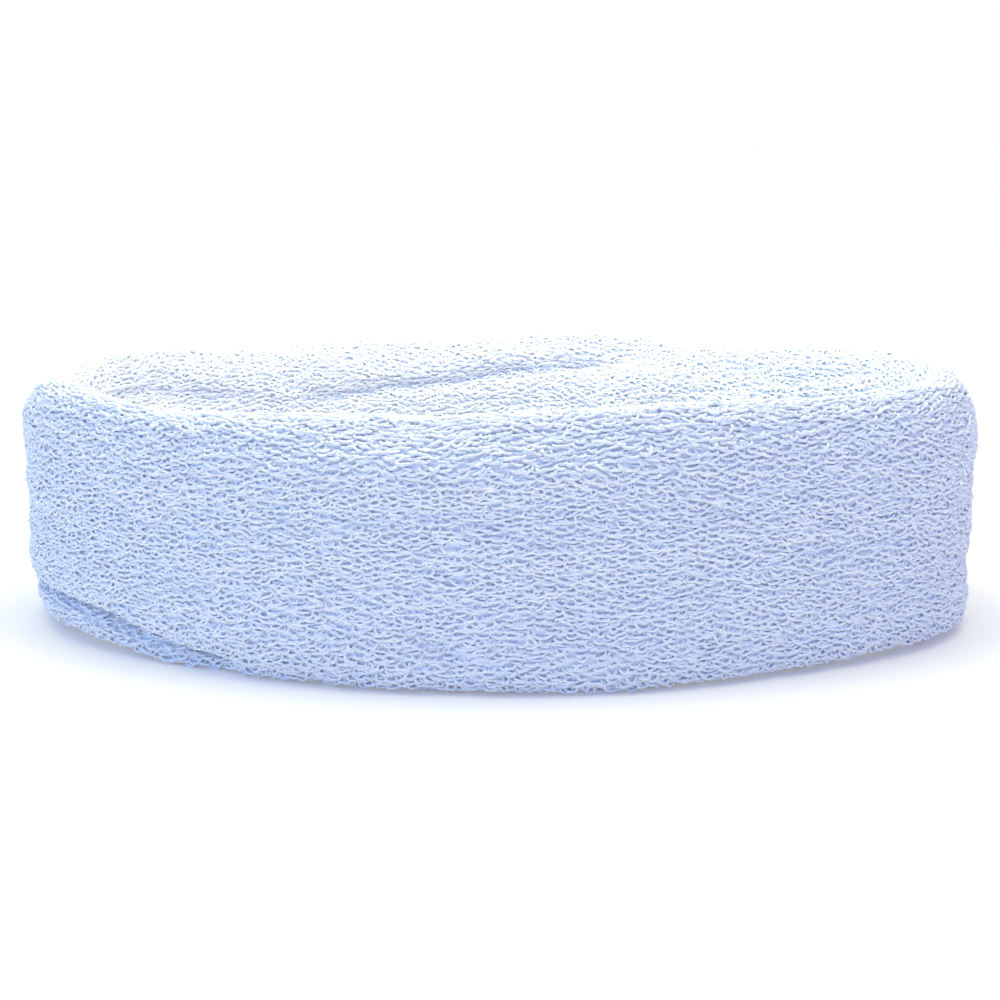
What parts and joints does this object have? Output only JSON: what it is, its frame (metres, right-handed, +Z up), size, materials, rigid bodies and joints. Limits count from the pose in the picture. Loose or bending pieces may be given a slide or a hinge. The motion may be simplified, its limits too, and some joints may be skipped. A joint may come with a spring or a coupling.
{
  "type": "sports headband",
  "caption": "Terry sweatband for the head: an elastic oval loop of looped knit folded double, closed by a seam inside.",
  "frame": {"origin": "middle of the loop, on the surface that the band stands on (its lower folded rim)", "axes": "+X along the loop's longer side, +Y towards its back, +Z up through the head opening"},
  "size_m": [0.19, 0.12, 0.05],
  "materials": {
    "white_terry": "looped cotton pile, matt",
    "ground_yarn": "plain knit, matt",
    "covered_elastic": "thread-covered elastane, matt",
    "sewing_thread": "textured polyester thread, soft sheen"
  },
  "bodies": {
    "root": {"terry_pile": "white_terry", "ground_knit": "ground_yarn", "overlock_looper_threads": "sewing_thread", "overlock_needle_threads": "sewing_thread", "seam_end_tack": "sewing_thread", "elastic_thread_outer_01": "covered_elastic", "elastic_thread_outer_02": "covered_elastic", "elastic_thread_outer_03": "covered_elastic", "elastic_thread_outer_04": "covered_elastic", "elastic_thread_outer_05": "covered_elastic", "elastic_thread_outer_06": "covered_elastic", "elastic_thread_outer_07": "covered_elastic", "elastic_thread_outer_08": "covered_elastic", "elastic_thread_outer_09": "covered_elastic", "elastic_thread_outer_10": "covered_elastic", "elastic_thread_outer_11": "covered_elastic", "elastic_thread_outer_12": "covered_elastic", "elastic_thread_inner_01": "covered_elastic", "elastic_thread_inner_02": "covered_elastic", "elastic_thread_inner_03": "covered_elastic", "elastic_thread_inner_04": "covered_elastic", "elastic_thread_inner_05": "covered_elastic", "elastic_thread_inner_06": "covered_elastic", "elastic_thread_inner_07": "covered_elastic", "elastic_thread_inner_08": "covered_elastic", "elastic_thread_inner_09": "covered_elastic", "elastic_thread_inner_10": "covered_elastic", "elastic_thread_inner_11": "covered_elastic", "elastic_thread_inner_12": "covered_elastic"}
  },
  "joints": []
}
